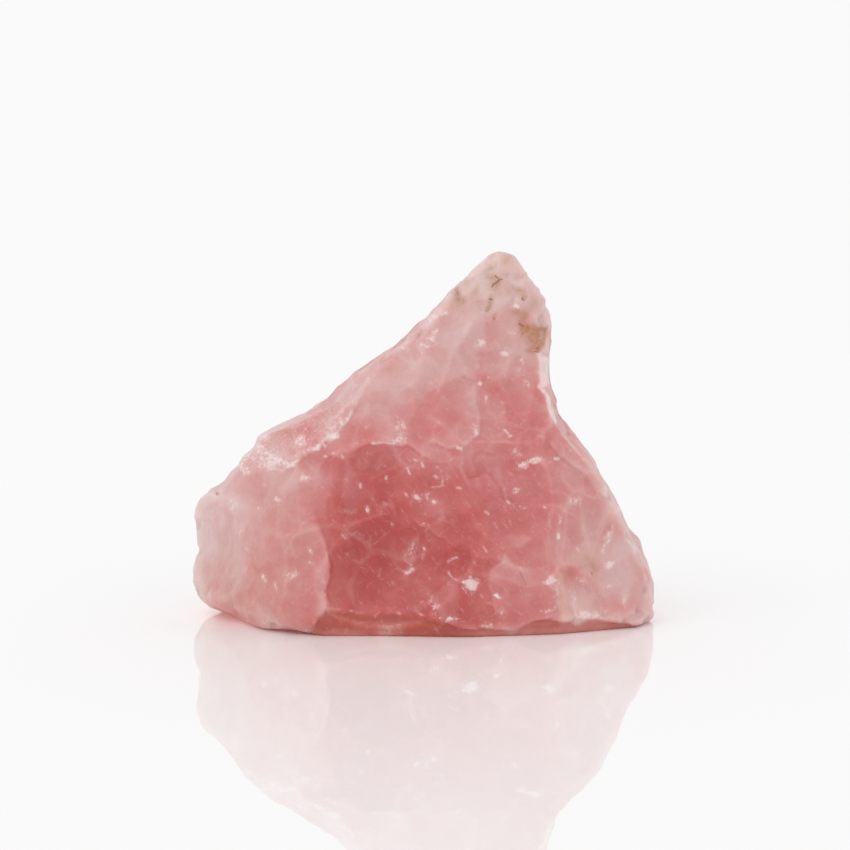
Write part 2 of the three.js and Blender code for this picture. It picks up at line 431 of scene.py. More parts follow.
# Where the rose colour is deep (above 0) or pale (below 0) on the front: middle X and Z, half width
# and half height, and how much.
roseBlots = [
    (-10.7, 11, 5.9, 9, 0.47), (-4, 18, 9, 8, 0.34), (-10, 26, 6, 5, 0.34), (2, 8, 10, 6, 0.3),
    (8, 22, 7, 6, 0.22), (17, 34, 5, 6, 0.12), (16.8, 21, 5, 6, 0.21), (8, 12, 7, 4, 0.16),
    (3, 47, 8, 7, -0.3), (-10, 42, 8, 5, -0.24), (12, 59, 9, 6, -0.36), (3, 36, 5.5, 5, 0.2),
    (34, 10, 8, 11, -0.18), (3, 26, 2, 2, -0.14), (13, 43, 5, 6, -0.12), (18, 5, 5, 4, 0.1),
    (-9, 30, 5, 2, 0.1), (4, 25, 4, 3, 0.08), (17, 31, 5, 4, 0.1), (2, 3, 9, 5, 0.1),
    (5.5, 15.5, 4, 5.6, 0.12), (24.2, 9.5, 3.2, 3.3, 0.17), (22.3, 10.3, 2.5, 2.5, 0.2),
    (16, 47, 4, 6, -0.12), (13, 47, 3, 4, -0.1), (8, 55, 5, 3, -0.06), (-24, 24.8, 4.5, 2.5, -0.16),
    (-10.4, 33.3, 3.7, 2.1, 0.19), (2, 32.5, 4, 2, 0.07), (-1, 31, 3, 3, 0.05), (-4, 5, 10, 5, 0.05),
    (6, 4, 10, 6, 0.08), (-31, 20, 3.6, 4.2, -0.18), (-30, 21.4, 2, 2, -0.08), (12, 61, 5, 3, -0.08),
    (14.6, 58, 4.6, 4.6, 0.1), (20.5, 57, 2, 5, -0.12), (20, 54, 2.5, 3, 0.07), (21, 50, 1.5, 4, -0.15),
    (21.3, 42, 1.2, 5, -0.12), (-12.5, 20, 4, 4.6, 0.15), (-16, 21, 3, 2.5, 0.05), (0, 24, 4, 3, 0.05),
    (3.1, 25.3, 6.2, 2, 0.1), (0, 26, 6, 2.5, 0.08), (4, 42, 5, 5, 0.05), (0, 47, 4, 4, 0.06),
    (6, 47, 3, 3, 0.06), (-20, 31, 5, 3, 0.12), (-19, 33, 3, 2, 0.17), (26, 27, 4, 4, 0.06),
    (26, 30, 3, 3, 0.06), (4, 3, 5, 3, 0.22), (0.7, 1.7, 4.7, 2.2, 0.27), (-4, 1, 8, 3, 0.08),
    (-10, 25, 3, 2, -0.06), (-10, 28, 4, 3, -0.06), (-14, 29, 2, 2, 0.07), (18, 30, 2, 2, 0.06),
    (14, 8, 4, 6, 0.08), (33.3, 2.6, 5.5, 3, 0.15), (39, 9.2, 2, 2.5, 0.26), (38.8, 9.5, 1.5, 2, 0.16),
    (22, 33, 2, 2, 0.08), (23, 31, 2.5, 3, 0.1), (14, 39, 3, 3, 0.09), (14, 41, 2.5, 2, 0.06),
    (-8, 43.5, 2.5, 2.5, 0.12), (-6, 45.5, 3, 2.5, 0.1), (-2, 49, 2.5, 1.7, 0.18),
    (-17.2, 25.3, 5.4, 2, -0.15), (8, 13.8, 4.6, 3.3, 0.12), (7.3, 17.6, 4.8, 2.6, 0.12),
    (-10, 17.2, 2.5, 2.2, -0.13), (26, 21, 3, 3, 0.06), (-24.2, 29, 4.5, 3, -0.17), (-26, 28, 3, 2, -0.06),
    (-6, 39, 4, 3, -0.06), (2, 21.4, 2, 2, -0.2), (34, 13.4, 2, 2, -0.17), (26, 5, 2, 2, -0.15),
    (14.6, 25, 2.8, 2.5, -0.12), (18, 41, 2, 3, -0.07), (22, 37, 1.5, 3, -0.08), (10, 41, 2, 2, -0.06),
    (-10, 41, 2, 2, 0.07), (10, 9, 3, 5, -0.03), (18, 38, 3, 5, 0.06), (-16, 3, 3, 4, -0.05),
    (36, 12, 4, 5, -0.05), (34, 16, 3, 3, 0.05), (34, 17.4, 2, 2, -0.06),
]
# Milky veils on the front, and glints painted on as highlights of small facets: lines through X and Z
# points, how wide and how white.
veilAndGlintLines = {
    "shoulder": [([(-25.6, 26.5), (-23, 26.6)], 0.35, 0.7), ([(-21.6, 27.7), (-20.9, 28.4)], 0.3, 0.9),
        ([(-18, 30.2), (-15.8, 32), (-13, 34.2), (-11.6, 36.4)], 0.45, 0.75),
        ([(-26.5, 24.3), (-26.1, 23.9)], 0.3, 0.7), ([(-16.6, 29.1), (-16.3, 29.2)], 0.35, 0.8),
        ([(-16.4, 30.8), (-16.1, 30.6)], 0.35, 0.8), ([(-15, 29.7), (-14.8, 29.6)], 0.3, 0.8),
        ([(-13.6, 29.3), (-13.3, 28.8)], 0.3, 0.7)],
    "arc": [([(-8.3, 31.2), (-6.9, 31.4), (-5, 31.2)], 0.3, 0.75),
        ([(-14.9, 29.6), (-12.7, 30.2)], 0.25, 0.4)],
    "bump": [([(4, 30.5), (5.6, 30.9), (7.5, 31.2)], 0.3, 0.5), ([(6, 30.8), (6.4, 30.6)], 0.45, 1),
        ([(8.9, 33), (9.5, 36)], 0.3, 0.3)],
    "rightEdge": [([(20.3, 45.6), (20.5, 43.3), (20.3, 40.5)], 0.9, 1.15),
        ([(19.8, 40), (21.2, 37.7), (22.1, 35)], 0.5, 0.95), ([(22.1, 35.2), (22.3, 34.4)], 0.4, 1.3),
        ([(23.4, 32.5), (26.3, 29)], 0.3, 0.5), ([(26.6, 28.4), (28.3, 26.8)], 0.3, 0.6)],
    "top": [([(15.2, 53.4), (16.2, 53.5)], 0.35, 0.9), ([(14.8, 49.4), (15.6, 48.9)], 0.3, 0.6),
        ([(5.4, 49.2), (5.5, 49)], 0.3, 0.6), ([(10.9, 42), (11, 41.8)], 0.35, 0.7),
        ([(10.6, 38.5), (10.7, 38.1)], 0.4, 0.8)],
    "shelf": [([(18, 28.4), (21.2, 28.1)], 0.35, 0.4), ([(21.9, 28.5), (23, 28.6)], 0.28, 0.95),
        ([(13.6, 33.3), (14.1, 33), (14.3, 32.4), (14.9, 32.5)], 0.3, 0.85),
        ([(20.9, 29.9), (24.8, 26.6)], 0.25, 0.35), ([(12.1, 26.8), (13.2, 24.2), (13.8, 22)], 0.3, 0.45)],
    "middle": [([(-10.2, 24.4), (-10.3, 23.8)], 0.32, 0.9), ([(-6, 25.6), (-6.2, 25.1)], 0.27, 0.85),
        ([(-9.3, 20.8), (-9.2, 20.1)], 0.4, 0.7), ([(-5.2, 17.9), (-5.1, 17.7)], 0.3, 0.8),
        ([(-2.6, 27.3), (-2.3, 26.2)], 0.25, 0.9), ([(-1.3, 28.6), (-0.8, 28.5)], 0.35, 0.7),
        ([(0, 28.2), (0.2, 27.5)], 0.3, 0.8), ([(1, 29.6), (1, 29.1)], 0.3, 0.6),
        ([(2.4, 26), (2.5, 25.8)], 0.3, 0.8), ([(1.4, 24.2), (2.2, 24.2), (3, 24.3)], 0.25, 0.65),
        ([(0.5, 23.2), (0.8, 22.2)], 0.3, 0.7), ([(-2.7, 23.1), (-2.5, 22.7)], 0.3, 0.7),
        ([(1.8, 21.9), (2.1, 21.6)], 0.35, 0.7), ([(5.7, 24.1), (6.1, 23.9)], 0.35, 0.75),
        ([(10.6, 20.1), (11, 19.7)], 0.28, 0.8), ([(11.5, 18.3), (12.3, 17.4)], 0.2, 0.7),
        ([(14, 21.7), (14.2, 21.4)], 0.34, 0.85), ([(-13.2, 16.4), (-12.7, 15.8)], 0.28, 0.7),
        ([(-11.6, 12.1), (-10.2, 11.9)], 0.25, 0.4), ([(-8.9, 16), (-8.7, 14.8)], 0.3, 0.4),
        ([(-13.6, 20.1), (-11.2, 20.2)], 0.3, 0.4), ([(10.2, 14.6), (10.6, 13.9)], 0.25, 0.7),
        ([(12.6, 14.6), (13, 14.2)], 0.25, 0.5), ([(-5, 8.2), (-4.8, 8)], 0.35, 0.6)],
    "loop": [([(-3.2, 12.3), (-2.2, 13.7), (-1.3, 15.7)], 0.35, 0.5),
        ([(-1.3, 15.7), (-1, 14.2), (-1.4, 12.5), (-2.2, 11.3), (-3.2, 12.3)], 0.28, 0.5),
        ([(-2.6, 9.8), (-2.1, 10)], 0.35, 0.9), ([(-1.9, 10.4), (-1.7, 10.7)], 0.4, 0.9),
        ([(0.2, 14), (0.3, 13.8)], 0.3, 0.9), ([(0.1, 13.2), (-0.2, 12.2)], 0.25, 0.6)],
    "star": [([(7.7, 10.4), (7.7, 8.5)], 0.35, 0.4), ([(7.8, 8.4), (7.9, 6.9)], 0.32, 0.35),
        ([(4.2, 10.4), (5.1, 9.5), (6.9, 8.7)], 0.28, 0.75),
        ([(4.2, 11.9), (4.9, 12.5), (5.6, 12.7)], 0.4, 0.75), ([(12.2, 6.6), (12.5, 6.4)], 0.4, 0.8),
        ([(12.9, 4.2), (13, 4)], 0.4, 0.6), ([(9.7, 6.9), (10, 6.6)], 0.25, 0.7),
        ([(11, 9.4), (10.9, 8.2), (11.5, 7.2)], 0.3, 0.4)],
    "strip": [([(22, 8.8), (22.2, 6), (22, 3.6)], 0.3, 0.35), ([(20.2, 8.8), (21.4, 7.4)], 0.3, 0.5),
        ([(22, 10), (22.1, 12.5), (22.4, 15)], 0.3, 0.5), ([(22.3, 16.4), (22.4, 15.8)], 0.35, 0.7),
        ([(24.4, 7), (25, 6.7), (25.2, 2.4)], 0.32, 0.5), ([(25.7, 13.7), (25.9, 13.2)], 0.4, 0.7),
        ([(30.3, 13.6), (31.6, 15.3), (32, 16.8)], 0.38, 0.55), ([(31.9, 7.2), (33.3, 7.5)], 0.3, 0.6),
        ([(34, 5.6), (33.6, 4.6), (33.8, 3.5)], 0.3, 0.45), ([(37.2, 8.6), (37.9, 7.4)], 0.25, 0.8),
        ([(20.3, 20.6), (20.5, 20.4)], 0.25, 0.8), ([(31.3, 10.3), (34, 11.8), (37, 13)], 0.5, 0.32),
        ([(26.5, 8.3), (31.4, 7.2)], 0.4, 0.32), ([(30.4, 12.5), (27, 15.5), (26.5, 20)], 0.5, 0.32),
        ([(22.5, 16.5), (22.8, 19.5), (24.8, 21.2)], 0.4, 0.3), ([(26.7, 3.4), (29.2, 8)], 0.45, 0.28),
        ([(33, 16.5), (33.5, 20)], 0.5, 0.35)],
    "lip": [([(-15.4, 4.6), (-13.4, 4.2), (-9.6, 3.4)], 0.22, 0.4),
        ([(-11.8, 4.4), (-11.4, 4.2)], 0.3, 0.8), ([(-6.6, 3.3), (-5.4, 3.2), (-4, 3.8)], 0.3, 0.65),
        ([(-0.8, 8.4), (1.7, 6), (4.4, 3.3), (7.9, 1.6)], 0.6, 0.35), ([(9.9, 1.5), (10.3, 1.4)], 0.4, 0.7),
        ([(13, 1.3), (15, 1.1), (19, 2.8)], 0.4, 0.4), ([(-0.8, 4.2), (0, 3.4)], 0.28, 0.7)],
    "plate": [([(-30.5, 16.8), (-30, 15.2)], 0.3, 0.5), ([(-29.9, 13.5), (-29.3, 13)], 0.3, 0.7),
        ([(-26.8, 9.3), (-26, 8.5)], 0.38, 0.9), ([(-24.4, 8.2), (-23.9, 7.4)], 0.38, 0.9),
        ([(-21.5, 10.2), (-21.2, 9.9)], 0.35, 0.6), ([(-18.6, 13.9), (-18.2, 13.4)], 0.3, 0.7),
        ([(-16.1, 7.4), (-15.8, 7)], 0.25, 0.7), ([(-29.6, 10.3), (-29.2, 9.9)], 0.3, 0.5),
        ([(-18.6, 6.4), (-16.6, 4.4)], 0.3, 0.3), ([(-23.6, 19), (-20.2, 16)], 0.35, 0.25),
        ([(-32, 20.2), (-31.3, 21.6)], 0.3, 0.45), ([(-31.3, 11.9), (-29.3, 9.6)], 0.3, 0.35),
        ([(-25.4, 22.2), (-23.1, 21.6)], 0.3, 0.45), ([(-17, 4.3), (-15.9, 3.3)], 0.25, 0.5),
        ([(-19.4, 19.2), (-20.4, 17.3), (-21.3, 15.9), (-21.5, 14.2)], 0.3, 0.35),
        ([(-28.2, 12), (-27.4, 10.6)], 0.25, 0.35), ([(-22.4, 9.6), (-20.4, 8.4)], 0.5, 0.4),
        ([(-27.6, 17.4), (-26.9, 16.2)], 0.25, 0.35), ([(-24.2, 5.4), (-23.5, 4.2)], 0.25, 0.4)],
}
# Frosted patches with ragged edges on the front: middle X and Z, half width and height, how white.
frostBlots = [
    (10, 47.7, 0.9, 0.8, 0.8), (8.9, 46.6, 0.6, 0.5, 0.6), (14.1, 45.5, 0.8, 0.9, 0.8),
    (15.2, 49.4, 0.9, 0.6, 0.6), (15.8, 53.5, 0.9, 0.4, 0.8), (9.8, 53, 0.8, 0.5, 0.6),
    (7.5, 51.3, 0.8, 0.4, 0.5), (3.6, 52.6, 0.9, 0.5, 0.8), (1.8, 51.8, 1.2, 0.8, 0.5),
    (1.8, 49, 1.1, 1.7, 0.5), (0.3, 46.8, 1.5, 1.3, 0.5), (-2.8, 46.5, 1.4, 0.6, 0.5),
    (16.9, 45, 0.5, 1.2, 0.6), (17.3, 41, 0.5, 1.8, 0.5), (9.9, 40.7, 0.45, 0.4, 0.9),
    (16.2, 42.8, 0.4, 0.4, 0.6), (-27, 31.4, 0.9, 0.7, 0.8), (-27.6, 29.7, 1.1, 0.7, 0.75),
    (-24.4, 28, 1.8, 1, 0.62), (-26.3, 27.2, 1.2, 0.7, 0.5), (-25.5, 28.4, 3.2, 1.7, 0.3),
    (8.6, 33.2, 0.8, 1.6, 0.6), (-20, 30.8, 3, 1.1, 0.25), (-29, 28.3, 2.5, 1.8, 0.4),
    (-15.5, 33.5, 2, 2, 0.35), (-29.9, 26.1, 0.8, 0.5, 0.9), (-31.6, 26.9, 1.4, 1, 0.7),
    (-20.4, 31.4, 1, 0.8, 0.9), (-22, 27.5, 0.9, 0.5, 0.8), (-17.8, 30.3, 1.1, 0.5, 0.45),
    (-15.2, 32.4, 1.2, 0.6, 0.45), (-13.5, 34.4, 0.8, 1, 0.7), (-19.8, 25.3, 0.8, 0.9, 0.8),
    (-24.3, 21.6, 0.9, 0.5, 0.6), (-27.3, 19.9, 0.9, 0.5, 0.5), (-32, 20.5, 0.8, 1.6, 0.6),
    (-30.5, 16.3, 0.5, 1.2, 0.6), (-21.4, 10.1, 1, 0.8, 0.7), (-26.6, 9.1, 0.7, 0.6, 0.5),
    (-18.7, 13.7, 0.5, 0.8, 0.5), (-18.3, 11.9, 1, 0.5, 0.5), (-0.8, 22.7, 1.6, 0.8, 0.6),
    (3.3, 25.6, 1.2, 1.8, 0.35), (2, 21.8, 0.7, 0.5, 0.6), (0.5, 17, 0.8, 1.5, 0.3),
    (-11.5, 16.4, 1.4, 0.8, 0.4), (-12.4, 12.4, 0.6, 1, 0.35), (-2, 13.6, 0.9, 1.8, 0.4),
    (7.8, 8.7, 1.25, 1.15, 1.2), (-9.3, 20.3, 0.6, 0.7, 0.6), (-8, 22.3, 0.8, 1.2, 0.3),
    (-3.8, 34, 1.3, 1.9, 0.5), (-4.3, 31.6, 1.6, 0.6, 0.6), (-10, 41.5, 2.5, 2, 0.3),
    (16.4, 27.5, 1, 0.8, 0.9), (18.8, 28.3, 1.5, 0.7, 0.7), (15.5, 29.8, 1, 0.9, 0.6),
    (15.4, 23.6, 0.7, 1.3, 0.6), (16.4, 20.7, 0.9, 0.5, 0.6), (25.2, 21.2, 1.3, 0.9, 0.6),
    (22.3, 16, 0.5, 0.8, 0.8), (22.8, 18.8, 0.5, 0.9, 0.5), (31, 15.2, 0.8, 1.3, 0.6),
    (30.2, 12.8, 0.7, 1.2, 0.5), (31.3, 10.3, 1.1, 0.7, 0.95), (31.4, 7.2, 1.3, 0.5, 0.6),
    (33.8, 4.8, 0.6, 1.2, 0.5), (21, 8.9, 1.2, 0.9, 0.95), (22, 6, 0.7, 2.2, 0.35),
    (25, 5.4, 0.7, 1.8, 0.6), (26.2, 2.9, 1.3, 0.8, 0.8), (29, 2.8, 1.5, 0.6, 0.5),
    (26.3, 8.3, 1, 0.6, 0.5), (33.5, 19.8, 1, 1.5, 0.4), (29.8, 26.5, 0.8, 2.2, 0.5),
    (12.3, 6.5, 0.7, 0.6, 0.7), (13, 4.1, 0.6, 0.6, 0.6), (1.8, 4.9, 1.2, 1.8, 0.5),
    (4.3, 3.3, 1.8, 0.7, 0.6), (20.2, 4.1, 1.4, 0.6, 0.5), (11.5, 1.6, 2, 0.6, 0.6),
]
# Rust-brown stains and their dark rims on the front: lines through X and Z points, how wide and how
# strong.
stainLines = [
    ([(17.9, 49.3), (19.6, 48.9)], 1.1, 0.85), ([(18.3, 48), (19.5, 47.6)], 1.1, 0.8),
    ([(18.6, 46.9), (19.1, 46.7)], 0.8, 0.7), ([(16.5, 50.8), (18.4, 50.1), (20.8, 49.6)], 0.4, 1.15),
    ([(20.8, 49.6), (20.3, 47.6), (19.6, 46.2)], 0.35, 1), ([(17.5, 46.6), (19.5, 46)], 0.35, 0.7),
    ([(16.8, 50), (17, 48.6)], 0.4, 0.6), ([(17, 51.6), (17.2, 52.2)], 0.8, 0.7),
    ([(15.6, 52.6), (17, 51.9)], 0.8, 0.5), ([(18.2, 53.2), (18.7, 53.9)], 0.9, 0.35),
    ([(16.2, 56.2), (17.3, 55)], 0.5, 0.7), ([(6, 56.1), (5.9, 54.6), (6.7, 54.5)], 0.75, 0.7),
    ([(8.8, 56.1), (9.1, 56.3)], 0.5, 0.45), ([(6.8, 57.8), (7.2, 57.6)], 0.6, 0.35),
    ([(14.1, 61.4), (14.7, 61)], 0.5, 0.55), ([(11.6, 54.7), (11, 53.2)], 0.4, 0.7),
    ([(11.6, 58.6), (12.6, 57.6), (12.4, 56.8)], 0.8, 0.55), ([(12.9, 58.5), (13.5, 58.2)], 0.5, 0.4),
    ([(8.6, 55), (9.6, 54.4)], 0.8, 0.25), ([(28.2, 10.9), (28.9, 9.9)], 0.6, 0.4),
    ([(27.4, 12), (28.3, 11)], 0.9, 0.25), ([(-35.3, 21.8), (-35.1, 21.6)], 0.3, 0.8),
    ([(12.1, 51.8), (12.2, 51.6)], 0.3, 0.6), ([(19.9, 46), (20.6, 45.7)], 0.3, 0.6),
]
# Creamy, nearly opaque parts between the veins at the right, in the same way.
creamLines = [
    ([(8, 56), (12, 57.5), (14, 60)], 4, 0.25), ([(22.8, 9.5), (23.4, 6), (23.6, 2.6)], 0.9, 0.6),
    ([(21.2, 9.2), (22.4, 7)], 0.9, 0.5), ([(23, 11.5), (25.4, 11.8), (28, 13.4), (30.4, 11.4)], 1.5, 0.45),
    ([(24.6, 8.4), (27, 9.6)], 1.3, 0.3), ([(22.4, 16), (22.6, 20)], 0.8, 0.15),
    ([(25.5, 2.6), (26.6, 5.2)], 0.9, 0.5), ([(28, 2.4), (30.5, 2.2)], 0.9, 0.4),
    ([(27, 16), (26.3, 21.6)], 0.8, 0.25), ([(30.2, 17.5), (31.6, 19.4)], 0.9, 0.5),
]
# Thin dark cracks and pits on the front: lines through X and Z points, how wide and how dark.
crackLines = [
    ([(12.5, 58.9), (12.9, 58.5), (13.4, 58.2), (13.7, 58.3)], 0.2, 0.7),
    ([(13.3, 58.2), (12.8, 57.8), (12.2, 57.5), (12, 57.1)], 0.25, 0.75),
    ([(11.5, 55), (11.9, 54.9)], 0.22, 0.7), ([(17.1, 55.1), (17.3, 54.8)], 0.22, 0.8),
    ([(16.6, 50.8), (17.1, 50.4)], 0.24, 0.8),
    ([(17.1, 50.4), (18.2, 50.1), (19.2, 49.7), (20.7, 49.6)], 0.16, 0.22),
    ([(20.7, 49.5), (20.3, 47.6), (19.8, 46.6)], 0.16, 0.2), ([(19.4, 46.5), (19.7, 46.8)], 0.18, 0.8),
    ([(19, 46.1), (19.9, 46)], 0.14, 0.6), ([(16.8, 50.2), (17, 49)], 0.14, 0.2),
    ([(16.1, 10.6), (16.6, 9.5), (17.1, 8.6)], 0.16, 0.35), ([(28.3, 9.7), (28.4, 9.4)], 0.18, 0.5),
    ([(-8.8, 2.2), (-8.6, 2.1)], 0.16, 0.7), ([(-35.3, 21.8), (-35.1, 21.5)], 0.2, 0.6),
    ([(10.9, 53.1), (11, 52.9)], 0.14, 0.7), ([(12.2, 51.8), (12.3, 51.6)], 0.16, 0.7),
]
painting = {
    "open": 0.43,  # the rose of the front, of its plate and of the rest
    "plate": 0.43, "elsewhere": 0.26,
    "plateEdge": 0.012, "plateEdgeReach": 6,  # the plate is deeper towards its edge
    "plateBreaks": 0.5,  # share of the breaks' rose on the plate
    "plateTop": (17, 22.5),  # where the plate runs out, in Z
    # how much deeper or paler the plate is in places, like the blots of the rest of the front
    "plateBlots": [(-24, 16, 5, 4, 0.05), (-35, 4, 4, 5, 0.18), (-37, 17, 3, 5, 0.06),
                   (-30, 21, 2.5, 2.5, -0.2), (-34, 22, 2, 2, 0.06), (-33, 2, 4, 3, 0.08),
                   (-26, 3, 3, 4, -0.1), (-23, 12, 5, 3, 0.05)],
    "lobe": -0.22, "lobeFrom": -28, "lobeTo": -37,  # the left lobe is paler
    "sole": 0.18, "soleTo": 14, "soleFrom": -14, "soleFull": -18,  # and the low left is deeper
    "foot": 0.3, "footShade": 0.2,  # painted shade on the hollow foot under the lip: its rose is deeper and the rusty brown lies over it
    # away from the front the rose is deeper inside an oval, in patches and behind the steps
    "inside": 0.32, "insideMiddle": (3, 18), "insideRadii": (42, 40),
    "patch": 0.12, "patchSize": 18, "behindSteps": 0.15,
    "cloudSize": 9, "cloud": 0.09, "cloudFront": 0.06,  # soft clouds in the rose
    "mottleSize": 3.2, "mottle": 0.05,
    "scoopTone": 0.1, "flakeTone": 0.1,  # how much the rose differs between hollows
    "toneBehind": 1.2, "flakeBehind": 0.6,  # how much more and less so behind
    "edgeLight": 0.2, "rimLight": 0.13,  # painted light: thin edges are paler as if lit through, and sides turned edge-on to the front are paler as a painted rim light
    "combed": 0.16,  # fine white streaks on the plate
    "stepVeilAndHighlight": 0.7, "edgeVeilAndHighlight": 0.55,  # white along steps and sharp edges: partly whitish broken edges, partly painted highlights
    "snow": 0.22,  # fine white specks away from the front
    # beige over the top as thin dust, the same beige over the left foot and the left of the plate as painted
    # shade near the ground, and faintly over the low middle
    "dustAndShade": [(13, 58, 7, 6, 0.06), (-32, 5, 7, 7, 0.18), (-22, 10, 8, 12, 0.1), (8, 3, 10, 4, 0.06)],
    "sway": 0.4, "swaySize": 2.2,  # how uneven the marks' edges are
    "crackReach": 1.2,  # how far round a crack it may show
}


# The strongest of soft lines: each is its strength times e to the minus squared distance in widths.
def strokes(x, z, lines):
    strongest = np.zeros(len(x))
    for line, wide, much in lines:
        beside = besideLine(x, z, line)[0]
        strongest = np.maximum(strongest, much * np.exp(-(beside / wide) ** 2))
    return strongest


# Where a point lies on the front: its X and Z, shaken a little, how far it is left of the plate's
# edge, and how much it is on the plate and on the hollow foot.
def placeOnFront(points, form):
    x, z = swayed(points, form["sway"], form["swaySize"], 600)[:, [0, 2]].T
    beside = besideLine(x, z, frontBreaks["plate"]["line"])[0]
    plate = smoothStep(-0.12, 0.12, beside) * (1 - smoothStep(*form["plateTop"], z))
    lip = z - np.interp(x, relief["lipX"], relief["lipZ"])
    return x, z, beside, plate, (1 - smoothStep(-0.4, 0.1, lip)) * (1 - plate)


# The rose of the front: a level and its blots and breaks, the plate's, lobe's and sole's own, and painted
# shade that deepens the hollow foot.
def frontRose(points, normals, place, form):
    x, z, beside, plate, foot = place
    breaks = frontSum(points, normals, "rose")
    rose = form["open"] + blots(x, z, roseBlots) + breaks
    onPlate = form["plate"] + form["plateEdge"] * (form["plateEdgeReach"] - beside)
    onPlate += form["plateBreaks"] * breaks + blots(x, z, form["plateBlots"])
    rose = rose * (1 - plate) + onPlate * plate
    rose += form["lobe"] * smoothStep(form["lobeFrom"], form["lobeTo"], x)
    low = 1 - smoothStep(0, form["soleTo"], z)
    rose += form["sole"] * low * smoothStep(form["soleFrom"], form["soleFull"], x)
    # painted shade: the rose of the hollow foot is deeper
    return rose + form["foot"] * foot


# The rose of the rest: a level, deeper towards the middle of an oval, in patches and behind steps.
def restRose(points, run, form):
    off = (points[:, [0, 2]] - form["insideMiddle"]) / form["insideRadii"]
    inside = smoothStep(0, 0.75, 1 - np.hypot(off[:, 0], off[:, 1]))
    patches = form["patch"] * noiseAt(points, form["patchSize"], 83)
    steps = form["behindSteps"] * (run - relief["stepMean"])
    return form["elsewhere"] + form["inside"] * inside + patches + steps


# How deep a rose, with painted light on edges and rims and painted shade on the foot, how rusty, with
# painted shade on the foot and low at the left, how creamy, frosted and fibrous each point is, how pale its
# ridges are, partly as painted highlight, how white a veil or painted glint lies there, and whether a crack
# may show. The front has its own marks, the rest has noise for them.
def markingsAt(points, normals, edgeness, form):
    place = placeOnFront(points, form)
    x, z, _, plate, foot = place
    front, behind = frontAt(normals), behindAt(normals)
    seen = smoothStep(-0.1, 0.12, -normals[:, 1])  # reaches a little further than the front
    run, line = breaksAt(points, relief)
    scoops, flakes = facetsAt(points, normals, relief)
    rose = front * frontRose(points, normals, place, form) + (1 - front) * restRose(points, run, form)
    cloud = fractalAt(swayed(points, 3, 8, 640), form["cloudSize"], 87, 3)
    rose += cloud * (form["cloudFront"] * front + form["cloud"] * (1 - front))
    # painted light: the rose is paler on thin sharp edges, as if lit through them
    rose += form["mottle"] * fractalAt(points, form["mottleSize"], 93, 2) - form["edgeLight"] * edgeness
    rose += form["scoopTone"] * (1 + form["toneBehind"] * behind) * (scoops[2] - 0.5)
    rose += form["flakeTone"] * (1 - form["flakeBehind"] * behind) * (flakes[2] - 0.5)
    # painted rim light: paler where the surface turns edge-on to the front, above the lowest few millimetres
    rose -= form["rimLight"] * (1 - smoothStep(0.05, 0.5, np.abs(normals[:, 1]))) * smoothStep(3, 8, z)
    # Pale ridges where the big hollows meet and where the small flakes meet: partly whiter broken ridges,
    # partly painted highlight.
    paleRidgeHighlight = (1 - smoothStep(0.02, 0.12, scoops[1])) * smoothStep(-0.1, 0.4, noiseAt(points, 7, 97))
    fine = (1 - smoothStep(0.05, 0.22, flakes[1])) * smoothStep(0.25, 0.7, noiseAt(points, 5, 99))
    lines = [mark for group in veilAndGlintLines.values() for mark in group]
    # The veils: the strokes of veils and painted glints, the plate's fine streaks, and white along steps and
    # sharp edges that is partly painted highlight.
    veilsAndHighlights = [strokes(x, z, lines) * seen * (1 - 0.8 * foot), form["combed"] * plate * front,
             form["stepVeilAndHighlight"] * line * smoothStep(0, 0.5, noiseAt(points, 5, 89)) * (1 - front),
             form["edgeVeilAndHighlight"] * edgeness * smoothStep(-0.1, 0.5, noiseAt(points, 4, 91))]
    frost = blots(x, z, frostBlots) * seen * (1 - foot)
    streaky = alongWay(points, relief["rising"]) * (0.3, 1, 1)
    streaks = smoothStep(0.3, 0.8, fractalAt(streaky, 4, 107, 3, 0.6)) * fibrousAt(points, normals)
    frost += (streaks + form["snow"] * smoothStep(-0.1, 0.6, noiseAt(points, 8, 111))) * (1 - front)
    # Rust stains and beige dust over the top, with the same brown laid on as painted shade on the hollow
    # foot and low at the left.
    stainAndShade = strokes(x, z, stainLines) + blots(x, z, form["dustAndShade"]) + form["footShade"] * foot
    near = [(mark[0], form["crackReach"], 1) for mark in crackLines]
    return {"rose": rose, "veilAndHighlight": np.max(veilsAndHighlights, axis=0), "stainAndShade": stainAndShade * front, "frost": frost,
            "cream": strokes(x, z, creamLines) * front, "fibre": fibrousAt(points, normals),
            "crack": strokes(points[:, 0], points[:, 2], near) * front,
            "paleRidgeHighlight": np.maximum(paleRidgeHighlight, fine * (1 - behind)) * (1 - foot * front)}


for markName, marked in markingsAt(stonePoints, stoneNormals, stoneEdgeness, painting).items():
    shell.data.attributes.new(markName, "FLOAT", "POINT").data.foreach_set("value", marked)
print("markings painted")


# A node with its settings, and its inputs set to values or linked from other nodes' outputs.
def addNode(tree, kind, inputs=None, **settings):
    made = tree.nodes.new(kind)
    for name, value in settings.items():
        setattr(made, name, value)
    for name, value in (inputs or {}).items():
        if isinstance(value, bpy.types.NodeSocket):
            tree.links.new(value, made.inputs[name])
        else:
            made.inputs[name].default_value = value
    return made


# Sums, products and the like of numbers and sockets.
def reckon(tree, operation, first, second=0.0, third=0.0, clamp=False):
    return addNode(tree, "ShaderNodeMath", {0: first, 1: second, 2: third},
                   operation=operation, use_clamp=clamp).outputs[0]


# A number brought from low..high to 0..1 along the curve 3t^2 - 2t^3.
def between(tree, value, low, high):
    ranged = addNode(tree, "ShaderNodeMapRange", {"Value": value, "From Min": low, "From Max": high},
                     interpolation_type="SMOOTHSTEP")
    return ranged.outputs["Result"]


